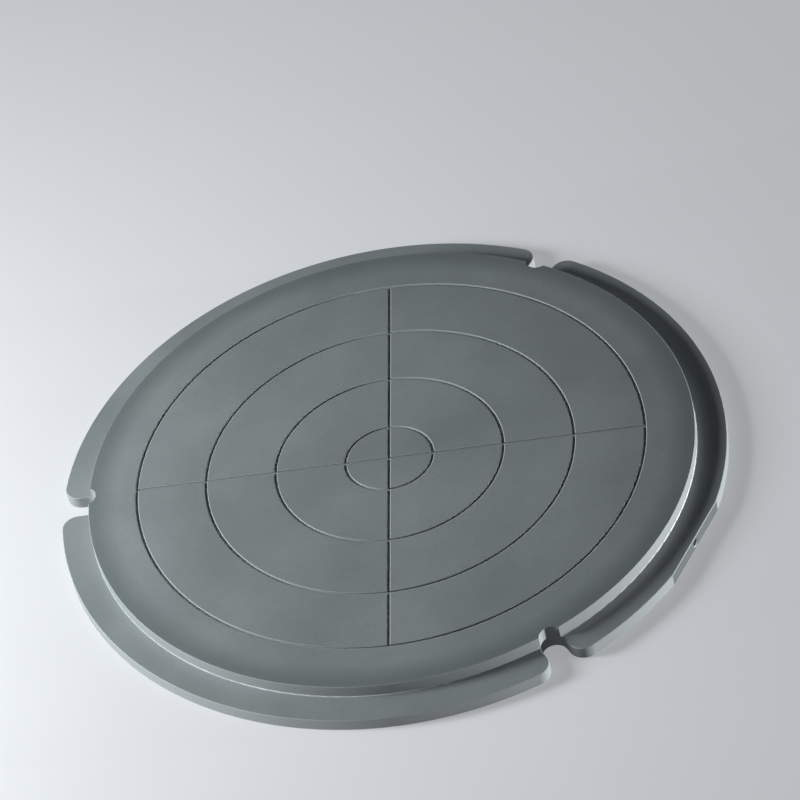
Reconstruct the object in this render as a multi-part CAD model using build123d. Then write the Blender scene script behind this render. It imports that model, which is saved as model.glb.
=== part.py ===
from build123d import *
import os
from math import hypot

# Vacuum wafer chuck: a flat ceramic table that holds a thin round wafer by suction.
# It is ground from one pressed and sintered disc, so the whole object is a single solid.
# A raised round plateau carries the wafer, and a thinner flange around it is clamped to the
# machine. Millimetres, +Z up, origin at the centre of the flat back face.

# The wafer and the suction grooves under it.
wafer_diameter = 300.0
rim_land = 5.0  # unbroken seat between the outermost groove and the wafer's edge
inner_ring_radius = 25.0
ring_count = 4
groove_width = 1.5
groove_depth = 1.0

# The plateau and the flange.
plateau_margin = 23.0  # how far the plateau reaches past the wafer's edge
plateau_height = 7.5
plateau_chamfer = 0.2
root_radius = 0.5  # left by the grinding wheel where the plateau's wall meets the flange
flange_ledge = 17.0  # how far the flange reaches past the plateau's wall
flange_thickness = 7.5
flange_chamfer = 0.4

# The open slots that a clamp screw or a lift pin passes through.
slot_count = 3
first_slot_angle = 60.0
slot_width = 14.0
slot_bite = 4.0  # how far each slot's round end cuts into the plateau
mouth_radius = 9.0

# The suction port in the flange's side.
port_angle = -27.0
flat_depth = 2.2  # what the flat around the port takes off the flange's rim
port_diameter = 4.2
port_depth = 12.0
port_shoulder = 0.6  # the step that stops a fitting pushed into the port
countersink_width = 0.65
feed_clearance = 0.15  # from the feed hole to each wall of the groove it opens into

# Sizes and places worked out from the ones above.
wafer_radius = wafer_diameter / 2
plateau_radius = wafer_radius + plateau_margin
flange_radius = plateau_radius + flange_ledge
total_height = flange_thickness + plateau_height

outer_ring_radius = wafer_radius - rim_land
ring_pitch = (outer_ring_radius - inner_ring_radius) / (ring_count - 1)
ring_radii = [inner_ring_radius + i * ring_pitch for i in range(ring_count)]

slot_angles = [first_slot_angle + i * 360 / slot_count for i in range(slot_count)]
slot_circle_radius = plateau_radius - slot_bite + slot_width / 2

flat_distance = flange_radius - flat_depth
port_height = flange_thickness / 2
channel_diameter = port_diameter - 2 * port_shoulder
channel_length = flat_distance - outer_ring_radius + channel_diameter / 2
feed_diameter = groove_width - 2 * feed_clearance


def slot_profile():
    """One slot seen from above: a round inner end, and straight sides that run out past the rim."""
    run = flange_radius - slot_circle_radius + slot_width
    round_end = Pos(slot_circle_radius, 0) * Circle(slot_width / 2)
    straight = Pos(slot_circle_radius + run / 2, 0) * Rectangle(run, slot_width)
    return round_end + straight


def slot_pattern():
    """All the slots, evenly spaced around the axis."""
    return Sketch() + [Rot(0, 0, angle) * slot_profile() for angle in slot_angles]


def is_mouth_corner(vertex):
    """True for the sharp corners where a slot's sides break through the flange's round rim."""
    on_rim = abs(hypot(vertex.X, vertex.Y) - flange_radius) < 0.01
    seen_from_slots = [(Rot(0, 0, -angle) * Pos(vertex.X, vertex.Y)).position for angle in slot_angles]
    beside_slot = any(p.X > 0 and abs(abs(p.Y) - slot_width / 2) < 0.01 for p in seen_from_slots)
    return on_rim and beside_slot


def flange_outline():
    """The rim's circle with the port's flat, and the slots with their corners rounded outwards."""
    disc = Circle(flange_radius)
    off_the_flat = Pos(flat_distance + flange_ledge / 2, 0) * Rectangle(flange_ledge, 2 * flange_radius)
    outline = disc - Rot(0, 0, port_angle) * off_the_flat - slot_pattern()
    mouth_corners = [vertex for vertex in outline.vertices() if is_mouth_corner(vertex)]
    return fillet(mouth_corners, mouth_radius)


def flange():
    """The thin outer plate, with the sharp edges of both faces broken all the way round."""
    plate = extrude(flange_outline(), flange_thickness)
    faces = plate.faces().sort_by(Axis.Z)
    return chamfer(faces[0].edges() + faces[-1].edges(), flange_chamfer)


def plateau():
    """The raised table, turned as one section with its root radius, then bitten by the slots."""
    foot_radius = plateau_radius + root_radius
    middle = flange_thickness / 2
    shoulder = total_height - plateau_chamfer
    foot = Polyline((0, middle), (foot_radius, middle), (foot_radius, flange_thickness))
    root_centre = (foot_radius, flange_thickness + root_radius)
    root = CenterArc(root_centre, root_radius, 180, 90)
    wall = Line((plateau_radius, flange_thickness + root_radius), (plateau_radius, shoulder))
    top = Polyline(
        (plateau_radius, shoulder),
        (plateau_radius - plateau_chamfer, total_height),
        (0, total_height),
        (0, middle),
    )
    section = Plane.XZ * make_face(foot + root + wall + top)
    return revolve(section, Axis.Z) - extrude(slot_pattern(), total_height)


def grooves():
    """The suction grooves: rings about the axis, joined by a cross that ends in the outermost ring."""
    arm = Rectangle(2 * outer_ring_radius, groove_width)
    network = arm + Rot(0, 0, 90) * arm
    for radius in ring_radii:
        network += Circle(radius + groove_width / 2) - Circle(radius - groove_width / 2)
    return extrude(Pos(0, 0, total_height) * network, -groove_depth)


def suction_path():
    """The drilled way from the flat in the rim to the outermost groove."""
    from_the_mouth = (Align.CENTER, Align.CENTER, Align.MAX)
    drilling = Cylinder(port_diameter / 2, port_depth, align=from_the_mouth)
    drilling += Cylinder(channel_diameter / 2, channel_length, align=from_the_mouth)
    mouth_diameter = port_diameter + 2 * countersink_width
    drilling += Cone(port_diameter / 2, mouth_diameter / 2, countersink_width, align=from_the_mouth)
    sideways = Pos(flat_distance, 0, port_height) * Rot(0, 90, 0) * drilling
    rise = total_height - groove_depth - port_height
    upwards = (Align.CENTER, Align.CENTER, Align.MIN)
    feed = Pos(outer_ring_radius, 0, port_height) * Cylinder(feed_diameter / 2, rise, align=upwards)
    return Rot(0, 0, port_angle) * (sideways + feed)


chuck_plate = flange() + plateau() - grooves() - suction_path()

os.makedirs("parts", exist_ok=True)
export_step(chuck_plate, "parts/chuck_plate.step")
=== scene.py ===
# %% [markdown]
# # A vacuum wafer chuck, finished in Blender
# A vacuum wafer chuck is a flat round table that holds a thin silicon wafer still by suction. This one is
# a single plate of silicon carbide, 380 mm across, with four ring grooves and a cross that spread the
# vacuum under the wafer. The plate itself comes from the CAD model and is already exact, so this lesson
# adds what CAD leaves out: the look of a ground technical ceramic, a floor, studio light, and a camera.

# %% Load the plate
from math import cos, radians, sin

import bmesh
import bpy
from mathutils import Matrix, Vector


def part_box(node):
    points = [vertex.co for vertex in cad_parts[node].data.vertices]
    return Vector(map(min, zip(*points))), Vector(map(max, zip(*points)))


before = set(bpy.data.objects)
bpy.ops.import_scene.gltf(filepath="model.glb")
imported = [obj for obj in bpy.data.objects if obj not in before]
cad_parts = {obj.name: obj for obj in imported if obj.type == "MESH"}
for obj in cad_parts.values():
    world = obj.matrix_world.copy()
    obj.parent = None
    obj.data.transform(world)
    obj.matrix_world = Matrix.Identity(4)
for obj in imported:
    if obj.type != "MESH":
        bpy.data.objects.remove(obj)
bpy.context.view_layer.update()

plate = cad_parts["chuck_plate"]

# %% [markdown]
# ## Sizes that the finish needs
# The finish differs from place to place: the wafer seat is lapped, the walls are ground, and the groove
# floors are left as the narrow wheel cut them. The material finds those places by their height and their
# distance from the axis, so it needs a few sizes of the plate. The seat's height and the rim's radius are
# read from the plate's box. The others are the plate's own dimensions.

# %% Sizes in metres
MM = 0.001
LEDGE_HEIGHT = 7.5 * MM
WAFER_RADIUS = 150 * MM
PORT_ANGLE = -27
PORT_FLAT_CUT = 2.2 * MM

high_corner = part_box("chuck_plate")[1]
seat_height = high_corner.z
rim_radius = high_corner.x
port_flat_distance = rim_radius - PORT_FLAT_CUT
print("seat", seat_height, "rim", rim_radius, "port flat", port_flat_distance)


# %% [markdown]
# ## Two helpers and an empty material
# Colours are written as the hex values that an artist would pick from a swatch. Those are sRGB values, and
# a shader works with linear light, so one function turns them. A second small function adds a node, sets
# its values and joins its inputs, which keeps every node of a material on a line or two. Sockets go by
# their name, or by their number where several have the same name.

# %% Colours and nodes
def colour(hex_value):
    """An sRGB hex colour as the linear RGBA that shaders and lamps take."""
    channels = [int(hex_value[i : i + 2], 16) / 255 for i in (1, 3, 5)]
    linear = [c / 12.92 if c <= 0.04045 else ((c + 0.055) / 1.055) ** 2.4 for c in channels]
    return (*linear, 1.0)


def add(tree, kind, inputs=None, **settings):
    """Adds a node. inputs maps a socket to a value, an output, or a node that gives its first output."""
    node = tree.nodes.new(kind)
    for name, value in settings.items():
        setattr(node, name, value)
    for socket, value in (inputs or {}).items():
        if isinstance(value, bpy.types.Node):
            value = value.outputs[0]
        if isinstance(value, bpy.types.NodeSocket):
            tree.links.new(value, node.inputs[socket])
        else:
            node.inputs[socket].default_value = value
    return node


def new_material(name):
    """An empty material with its shader, and the node tree to build on."""
    material = bpy.data.materials.new(name)
    material.use_nodes = True
    return material, material.node_tree, material.node_tree.nodes["Principled BSDF"]


print("mid grey in linear light:", [round(channel, 3) for channel in colour("#808080")[:3]])

# %% [markdown]
# ## The ceramic
# Silicon carbide is pressed from fine powder, sintered, and then cut with diamond wheels. It is a dark
# neutral grey with a faint green cast, and it is denser and glossier than a clay ceramic: its index of
# refraction is about 2.65, so even a matt ground face keeps a soft sheen. A plain grey shader would lose
# what makes it look real, which is that each face was finished by another tool. So one material covers the
# plate and works out where each point lies: how high, how far from the axis, how far along the port's
# direction, and how level its face is, which is 1 on a level face and 0 on an upright wall.

# %% Where a point lies
ceramic, tree, shader = new_material("silicon_carbide_ground")
place = add(tree, "ShaderNodeTexCoord").outputs["Object"]
axes = add(tree, "ShaderNodeSeparateXYZ", {0: place}).outputs
height = axes["Z"]
in_plan = add(tree, "ShaderNodeVectorMath", {0: place, 1: (1, 1, 0)}, operation="MULTIPLY")
radius = add(tree, "ShaderNodeVectorMath", {0: in_plan}, operation="LENGTH").outputs["Value"]

port_way = (cos(radians(PORT_ANGLE)), sin(radians(PORT_ANGLE)), 0)
port_reading = add(tree, "ShaderNodeVectorMath", {0: place, 1: port_way}, operation="DOT_PRODUCT")
along_port = port_reading.outputs["Value"]

face_normal = add(tree, "ShaderNodeNewGeometry").outputs["Normal"]
upward = add(tree, "ShaderNodeSeparateXYZ", {0: face_normal}).outputs["Z"]
levelness = add(tree, "ShaderNodeMath", {0: upward}, operation="ABSOLUTE")
print("port direction:", [round(part, 3) for part in port_way])

# %% [markdown]
# ### One mask for each kind of face
# A mask is 1 on its own kind of face and 0 elsewhere. The faces of a CAD plate could be given separate
# materials by hand, but its mesh is kept as it came, and masks also fade softly. Each starts as a straight
# ramp on one reading: the list says what it reads, where it is 0, and where it is 1.

# %% Ramps
RAMPS = {
    "level": (levelness, 0.93, 0.97),
    "wall": (levelness, 0.35, 0.25),
    "not upright": (levelness, 0.45, 0.55),
    "not level": (levelness, 0.90, 0.85),
    "at the top": (height, seat_height - 0.3 * MM, seat_height - 0.1 * MM),
    "below the top": (height, seat_height - 0.5 * MM, seat_height - 0.7 * MM),
    "above the ledge": (height, LEDGE_HEIGHT + 2 * MM, LEDGE_HEIGHT + 2.5 * MM),
    "at the port": (along_port, port_flat_distance - 0.15 * MM, port_flat_distance - 0.05 * MM),
    "under the wafer": (radius, WAFER_RADIUS + 5 * MM, WAFER_RADIUS),
    "past the wafer": (radius, WAFER_RADIUS + 7 * MM, WAFER_RADIUS + 19 * MM),
}

mask = {}
for name, (reading, at_zero, at_one) in RAMPS.items():
    mask[name] = add(tree, "ShaderNodeMapRange", {0: reading, 1: at_zero, 2: at_one})
print("ramps:", len(RAMPS))

# %% [markdown]
# ### Masks that need two readings
# A ramp on one reading can't tell every face. The seat, for instance, is whatever is level and also at the
# top. Such a mask is the product of two others, and may itself be a part of the next.

# %% Products
PRODUCTS = {
    "broken edge": ("not upright", "not level"),
    "seat": ("level", "at the top"),
    # The seat margin mask places a painted dark reflection: a darker band near the seat's outer edge.
    "seat margin painted reflection": ("seat", "past the wafer"),
    "port flat": ("wall", "at the port"),
    "groove wall": ("wall", "under the wafer"),
    "raised level": ("level", "above the ledge"),
    "groove floor": ("raised level", "below the top"),
}

for name, (first, second) in PRODUCTS.items():
    mask[name] = add(tree, "ShaderNodeMath", {0: mask[first], 1: mask[second]}, operation="MULTIPLY")
print("masks:", ", ".join(mask))

# %% [markdown]
# ### Stoned groove edges
# The edges of the grooves are run over with a fine stone, so that they can't chip or scratch a wafer. That
# leaves a slope only some 0.3 mm wide, which catches the light as a hair line beside each groove. It is
# too narrow to be worth a face in the mesh, so the material tips the surface there with a bump, and paints
# it paler as well, a painted highlight on the hair line. Its mask needs the distance to the nearest groove:
# the rings are evenly spaced, so one fold of the radius gives it for all four, and the smaller of x and y
# gives it for the cross. Past the outermost ring, where the cross ends, a whole metre is added to the
# distance from the cross.

# %% Distance to the nearest groove
INNER_RING = 25 * MM
OUTER_RING = 145 * MM
RING_STEP = 40 * MM
HALF_GROOVE = 0.75 * MM
STONED_WIDTH = 0.3 * MM

past_inner_ring = add(tree, "ShaderNodeMath", {0: radius, 1: INNER_RING}, operation="SUBTRACT")
from_ring = add(tree, "ShaderNodeMath", {0: past_inner_ring, 1: RING_STEP / 2}, operation="PINGPONG")

from_arm_along_y = add(tree, "ShaderNodeMath", {0: axes["X"]}, operation="ABSOLUTE")
from_arm_along_x = add(tree, "ShaderNodeMath", {0: axes["Y"]}, operation="ABSOLUTE")
from_arm = add(tree, "ShaderNodeMath", {0: from_arm_along_y, 1: from_arm_along_x}, operation="MINIMUM")
past_cross = add(tree, "ShaderNodeMapRange", {0: radius, 1: OUTER_RING, 2: OUTER_RING + MM})
from_cross = add(tree, "ShaderNodeMath", {0: from_arm, 1: past_cross}, operation="ADD")

from_groove = add(tree, "ShaderNodeMath", {0: from_ring, 1: from_cross}, operation="MINIMUM")
stoned_outside = HALF_GROOVE + STONED_WIDTH
near_groove = add(tree, "ShaderNodeMapRange", {0: from_groove, 1: stoned_outside, 2: HALF_GROOVE})
# This mask drives the real stoned slope in the bump, and a pale coat on it that is a painted highlight.
mask["stoned slope and highlight"] = add(tree, "ShaderNodeMath", {0: mask["seat"], 1: near_groove}, operation="MULTIPLY")
print("stoned slopes end", round(stoned_outside / MM, 2), "mm from the middle of a groove")

# %% [markdown]
# ### Clouds and grains
# Two scales of variation make the grey. Pressing leaves slow clouds some 70 mm across, barely lighter or
# darker than each other. The sintered grains are about 10 microns wide, far too fine for a picture of the
# whole plate, so they are drawn as specks of about 1 mm. Only the peaks of their noise become specks, and
# with very little contrast.

# %% Clouds and grains
CLOUD_SIZE = 70 * MM
GRAIN_SIZE = 1.1 * MM

cloud_settings = {"Vector": place, "Scale": 1 / CLOUD_SIZE, "Detail": 3.0, "Roughness": 0.55}
clouds = add(tree, "ShaderNodeTexNoise", cloud_settings)
grain_settings = {"Vector": place, "Scale": 1 / GRAIN_SIZE, "Detail": 2.0, "Roughness": 0.6}
grains = add(tree, "ShaderNodeTexNoise", grain_settings)
mask["speck"] = add(tree, "ShaderNodeMapRange", {0: grains, 1: 0.52, 2: 0.75})

body_grey = add(tree, "ShaderNodeValToRGB", {0: clouds})
body_grey.color_ramp.elements[0].position = 0.32
body_grey.color_ramp.elements[0].color = colour("#737979")
body_grey.color_ramp.elements[1].position = 0.70
body_grey.color_ramp.elements[1].color = colour("#808686")
print("noise scales per metre:", round(1 / CLOUD_SIZE, 1), "and", round(1 / GRAIN_SIZE, 1))

# %% [markdown]
# ### Coats of colour
# The walls of the grooves are paler, partly because no lapping plate reaches them and their open grain
# scatters the light, and partly as a painted highlight that brightens the groove lines. The side walls are
# a shade darker. A band on the outer margin of the seat, outside the wafer's edge, is darker as a painted
# dark reflection, and the flat around the port is the darkest face, also as a painted dark reflection. The
# broken edges are in between, and the stoned slopes are the palest, as a painted highlight on their hair
# lines.
# Each is laid over the grey in turn, like a thin coat: the list says where it goes, how thick it is from 0
# to
# 1, and its colour.

# %% Coats of colour
COATS = (
    ("speck", 0.35, "#4f5656"),
    # Painted dark reflection: a darker band on the seat's outer margin.
    ("seat margin painted reflection", 0.7, "#5a6161"),
    ("wall", 0.75, "#535958"),
    # Paler groove walls: partly their ground finish, partly a painted highlight that brightens the groove
    # lines.
    ("groove wall", 1.0, "#8f9695"),
    # Painted dark reflection: the port flat is coated darkest to stand in for what it mirrors.
    ("port flat", 1.0, "#3c4242"),
    ("broken edge", 0.5, "#6a7170"),
    # Painted highlight: the stoned slopes are coated pale to look like bright hair lines.
    ("stoned slope and highlight", 1.0, "#a4aaaa"),
)

# A Mix node has sockets for several types. Those for colours are inputs 6 and 7 and output 2.
surface = body_grey.outputs["Color"]
for name, thickness, shade in COATS:
    amount = add(tree, "ShaderNodeMath", {0: mask[name], 1: thickness}, operation="MULTIPLY")
    coated = add(tree, "ShaderNodeMix", {0: amount, 6: surface, 7: colour(shade)}, data_type="RGBA")
    surface = coated.outputs[2]
tree.links.new(surface, shader.inputs["Base Color"])
print("coats:", len(COATS))

# %% [markdown]
# ### Gloss
# The lapped seat is satin, a little more or less so with the clouds. The walls, the broken edges and the
# groove floors are more matt, and the flat around the port is glossier, because a fitting has to seal
# against it. Each mask adds its change to the roughness of the seat, so one short list holds what would
# otherwise take a material for every face.

# %% Roughness
SILICON_CARBIDE_IOR = 2.65
ROUGHNESS_CHANGES = {"wall": 0.2, "port flat": -0.35, "broken edge": 0.3, "groove floor": 0.1}

roughness = add(tree, "ShaderNodeMapRange", {0: clouds, 1: 0.3, 2: 0.7, 3: 0.48, 4: 0.53})
for name, change in ROUGHNESS_CHANGES.items():
    changed = {0: mask[name], 1: change, 2: roughness}
    roughness = add(tree, "ShaderNodeMath", changed, operation="MULTIPLY_ADD")
tree.links.new(roughness.outputs[0], shader.inputs["Roughness"])
shader.inputs["IOR"].default_value = SILICON_CARBIDE_IOR
print("roughness changes:", ROUGHNESS_CHANGES)

# %% [markdown]
# ### Tool marks
# The wheel leaves fine rings on the ledge and fine level lines on the walls. Both come from one noise that
# changes only with radius and height: on a level face it draws rings, and on an upright wall it draws
# level lines. Real marks are microns apart, so they are drawn about 0.7 mm apart, and very shallow. On the
# seat lapping has nearly wiped them out and left the grains open instead. A second bump over the first
# tips the stoned slopes.

# %% Bump
MARK_SPACING = 0.7 * MM
MARK_DEPTH = 0.004 * MM
MARKS_LAPPED_AWAY = 0.85
GRAIN_SHARE = 0.35
STONED_DEPTH = 0.2 * MM

across = add(tree, "ShaderNodeMath", {0: radius, 1: height}, operation="ADD")
mark_settings = {"W": across, "Scale": 1 / MARK_SPACING, "Detail": 2.0}
marks = add(tree, "ShaderNodeTexNoise", mark_settings, noise_dimensions="1D")
marks_left = add(
    tree, "ShaderNodeMath", {0: mask["seat"], 1: -MARKS_LAPPED_AWAY, 2: 1.0}, operation="MULTIPLY_ADD"
)
wheel_relief = add(tree, "ShaderNodeMath", {0: marks, 1: marks_left}, operation="MULTIPLY")
level_grains = add(tree, "ShaderNodeMath", {0: grains, 1: mask["level"]}, operation="MULTIPLY")
fine_relief = add(
    tree, "ShaderNodeMath", {0: level_grains, 1: GRAIN_SHARE, 2: wheel_relief}, operation="MULTIPLY_ADD"
)
marked = add(tree, "ShaderNodeBump", {"Strength": 0.5, "Distance": MARK_DEPTH, "Height": fine_relief})
slope_settings = {"Strength": 1.0, "Distance": STONED_DEPTH, "Height": mask["stoned slope and highlight"], "Normal": marked}
sloped = add(tree, "ShaderNodeBump", slope_settings, invert=True)
tree.links.new(sloped.outputs[0], shader.inputs["Normal"])

plate.data.materials[0] = ceramic
print("materials on the plate:", [material.name for material in plate.data.materials])

# %% [markdown]
# ## Floor
# A plain pale sheet of studio paper. The lamps of this scene stand low, so little of their light falls on a
# level sheet. Its colour is a middle grey, which is what throws light back onto the plate, and an even lift
# makes it look pale to the camera and to mirrored and refracted rays. The plate's shadow stays on it.

# %% Paper
PAPER_CLOUDS_PER_METRE = 12.0
PAPER_LIFT = 0.36

paper, paper_tree, paper_shader = new_material("studio_paper")
paper_shader.inputs["Roughness"].default_value = 0.9
paper_shader.inputs["Specular IOR Level"].default_value = 0.0
paper_place = add(paper_tree, "ShaderNodeTexCoord").outputs["Object"]
paper_settings = {"Vector": paper_place, "Scale": PAPER_CLOUDS_PER_METRE, "Detail": 2.0}
paper_clouds = add(paper_tree, "ShaderNodeTexNoise", paper_settings)
paper_grey = add(paper_tree, "ShaderNodeValToRGB", {0: paper_clouds})
paper_grey.color_ramp.elements[0].color = colour("#919294")
paper_grey.color_ramp.elements[1].color = colour("#959698")
paper_tree.links.new(paper_grey.outputs["Color"], paper_shader.inputs["Base Color"])

ray = add(paper_tree, "ShaderNodeLightPath").outputs
seen = ray["Is Camera Ray"]
for kind_of_ray in ("Is Glossy Ray", "Is Transmission Ray"):
    seen = add(paper_tree, "ShaderNodeMath", {0: seen, 1: ray[kind_of_ray]}, operation="MAXIMUM")
lift = add(paper_tree, "ShaderNodeMath", {0: seen, 1: PAPER_LIFT}, operation="MULTIPLY")
paper_tree.links.new(lift.outputs[0], paper_shader.inputs["Emission Strength"])
paper_shader.inputs["Emission Color"].default_value = colour("#f4f6fa")
print("paper nodes:", len(paper_tree.nodes))

# %% [markdown]
# ### The sheet
# It is far larger than the view, so no edge of it shows, and it lies a hair under the plate's back so that
# the two faces don't fight for the same place. It is only there for the picture.

# %% Sheet
HALF_SHEET = 6.0
SHEET_GAP = 0.1 * MM

sheet = bmesh.new()
bmesh.ops.create_grid(sheet, x_segments=1, y_segments=1, size=HALF_SHEET)
bmesh.ops.translate(sheet, verts=sheet.verts, vec=(0, 0, -SHEET_GAP))
floor_mesh = bpy.data.meshes.new("floor")
sheet.to_mesh(floor_mesh)
sheet.free()
floor_mesh.materials.append(paper)
floor = bpy.data.objects.new("floor", floor_mesh)
bpy.context.scene.collection.objects.link(floor)
print("floor:", floor.dimensions)

# %% [markdown]
# ## Light
# The plate is nearly flat, so light from above would wash it out. A low soft box on the left skims over it
# instead: the near side is brighter than the far side, the grooves get a lit and a dark wall, and the
# plateau drops a shadow on the ledge behind it. The soft box is hidden from glossy rays, because from the
# opposite side the seat would mirror it as a white glare and lose its colour.

# %% Soft box on the left
LAMP_COLOUR = colour("#f8fcff")[:3]
BOX_AZIMUTH = radians(190)
BOX_DISTANCE = 0.78
BOX_HEIGHT = 0.41
BOX_SIZE = 0.3
BOX_WATTS = 16.0

box_light = bpy.data.lights.new("left_soft_box", "AREA")
box_light.size = BOX_SIZE
box_light.energy = BOX_WATTS
box_light.color = LAMP_COLOUR
soft_box = bpy.data.objects.new("left_soft_box", box_light)
soft_box.location = (BOX_DISTANCE * cos(BOX_AZIMUTH), BOX_DISTANCE * sin(BOX_AZIMUTH), BOX_HEIGHT)
to_seat = Vector((0, 0, seat_height)) - soft_box.location
soft_box.rotation_euler = to_seat.to_track_quat("-Z", "Y").to_euler()
soft_box.visible_glossy = False
bpy.context.scene.collection.objects.link(soft_box)
print("soft box to seat:", round(to_seat.length, 3), "m")

# %% [markdown]
# ### Far lights and room
# Two far lights, one on either side, come in almost level with the floor. They light the upright walls and
# leave the ledge dark, which makes the low steps of the plate easy to read. A weak light from behind shows
# the back of the rim, and a weak even sky keeps the shadows open. All three far ones are sun lamps, whose
# light is parallel: a near lamp that skims the plate as low would burn a white pool into the floor.

# %% Far lights and sky
# Azimuth, elevation and width in degrees, and strength.
# A sun lamp lights alike from anywhere, so only its turn matters and not where it stands.
FAR_LIGHTS = {
    "back_light": (150, 25, 20, 0.35),
    "low_left_light": (-166, 0.8, 1.5, 3.0),
    "low_right_light": (0, 0.8, 1.5, 7.0),
}
for name, (azimuth, elevation, width, strength) in FAR_LIGHTS.items():
    far_light = bpy.data.lights.new(name, "SUN")
    far_light.angle = radians(width)
    far_light.energy = strength
    far_light.color = LAMP_COLOUR
    stand = bpy.data.objects.new(name, far_light)
    turn = radians(azimuth)
    rise = radians(elevation)
    towards = Vector((cos(turn) * cos(rise), sin(turn) * cos(rise), sin(rise)))
    stand.location = towards
    stand.rotation_euler = (-towards).to_track_quat("-Z", "Y").to_euler()
    bpy.context.scene.collection.objects.link(stand)

SKY_STRENGTH = 0.02
sky = bpy.data.worlds.new("studio_room")
sky.use_nodes = True
sky_light = sky.node_tree.nodes["Background"].inputs
sky_light["Color"].default_value = colour("#dfe6f0")
sky_light["Strength"].default_value = SKY_STRENGTH
bpy.context.scene.world = sky
bpy.context.scene.view_settings.view_transform = "Standard"
print("lamps:", [lamp.name for lamp in bpy.data.lights])

# %% [markdown]
# ## Camera
# A long lens from 2.2 m away, looking down at the plate at 43 degrees, with the camera tilted by 10 degrees
# so that the plate seems to lean. A short lens from near by would fill the frame as well, but it would
# swell the near side. The long lens keeps the rings close to true ellipses.

# %% Camera
SENSOR_MM = 36
LENS_MM = 174
CAMERA_PLACE = (0.26816, -1.56777, 1.49654)
CAMERA_TURN = (radians(47.015), radians(10.033), radians(-0.010))

lens = bpy.data.cameras.new("camera")
lens.sensor_width = SENSOR_MM
lens.lens = LENS_MM
camera = bpy.data.objects.new("camera", lens)
camera.location = CAMERA_PLACE
camera.rotation_euler = CAMERA_TURN
bpy.context.scene.collection.objects.link(camera)
bpy.context.scene.camera = camera
print("camera to plate:", round(camera.location.length, 3), "m")
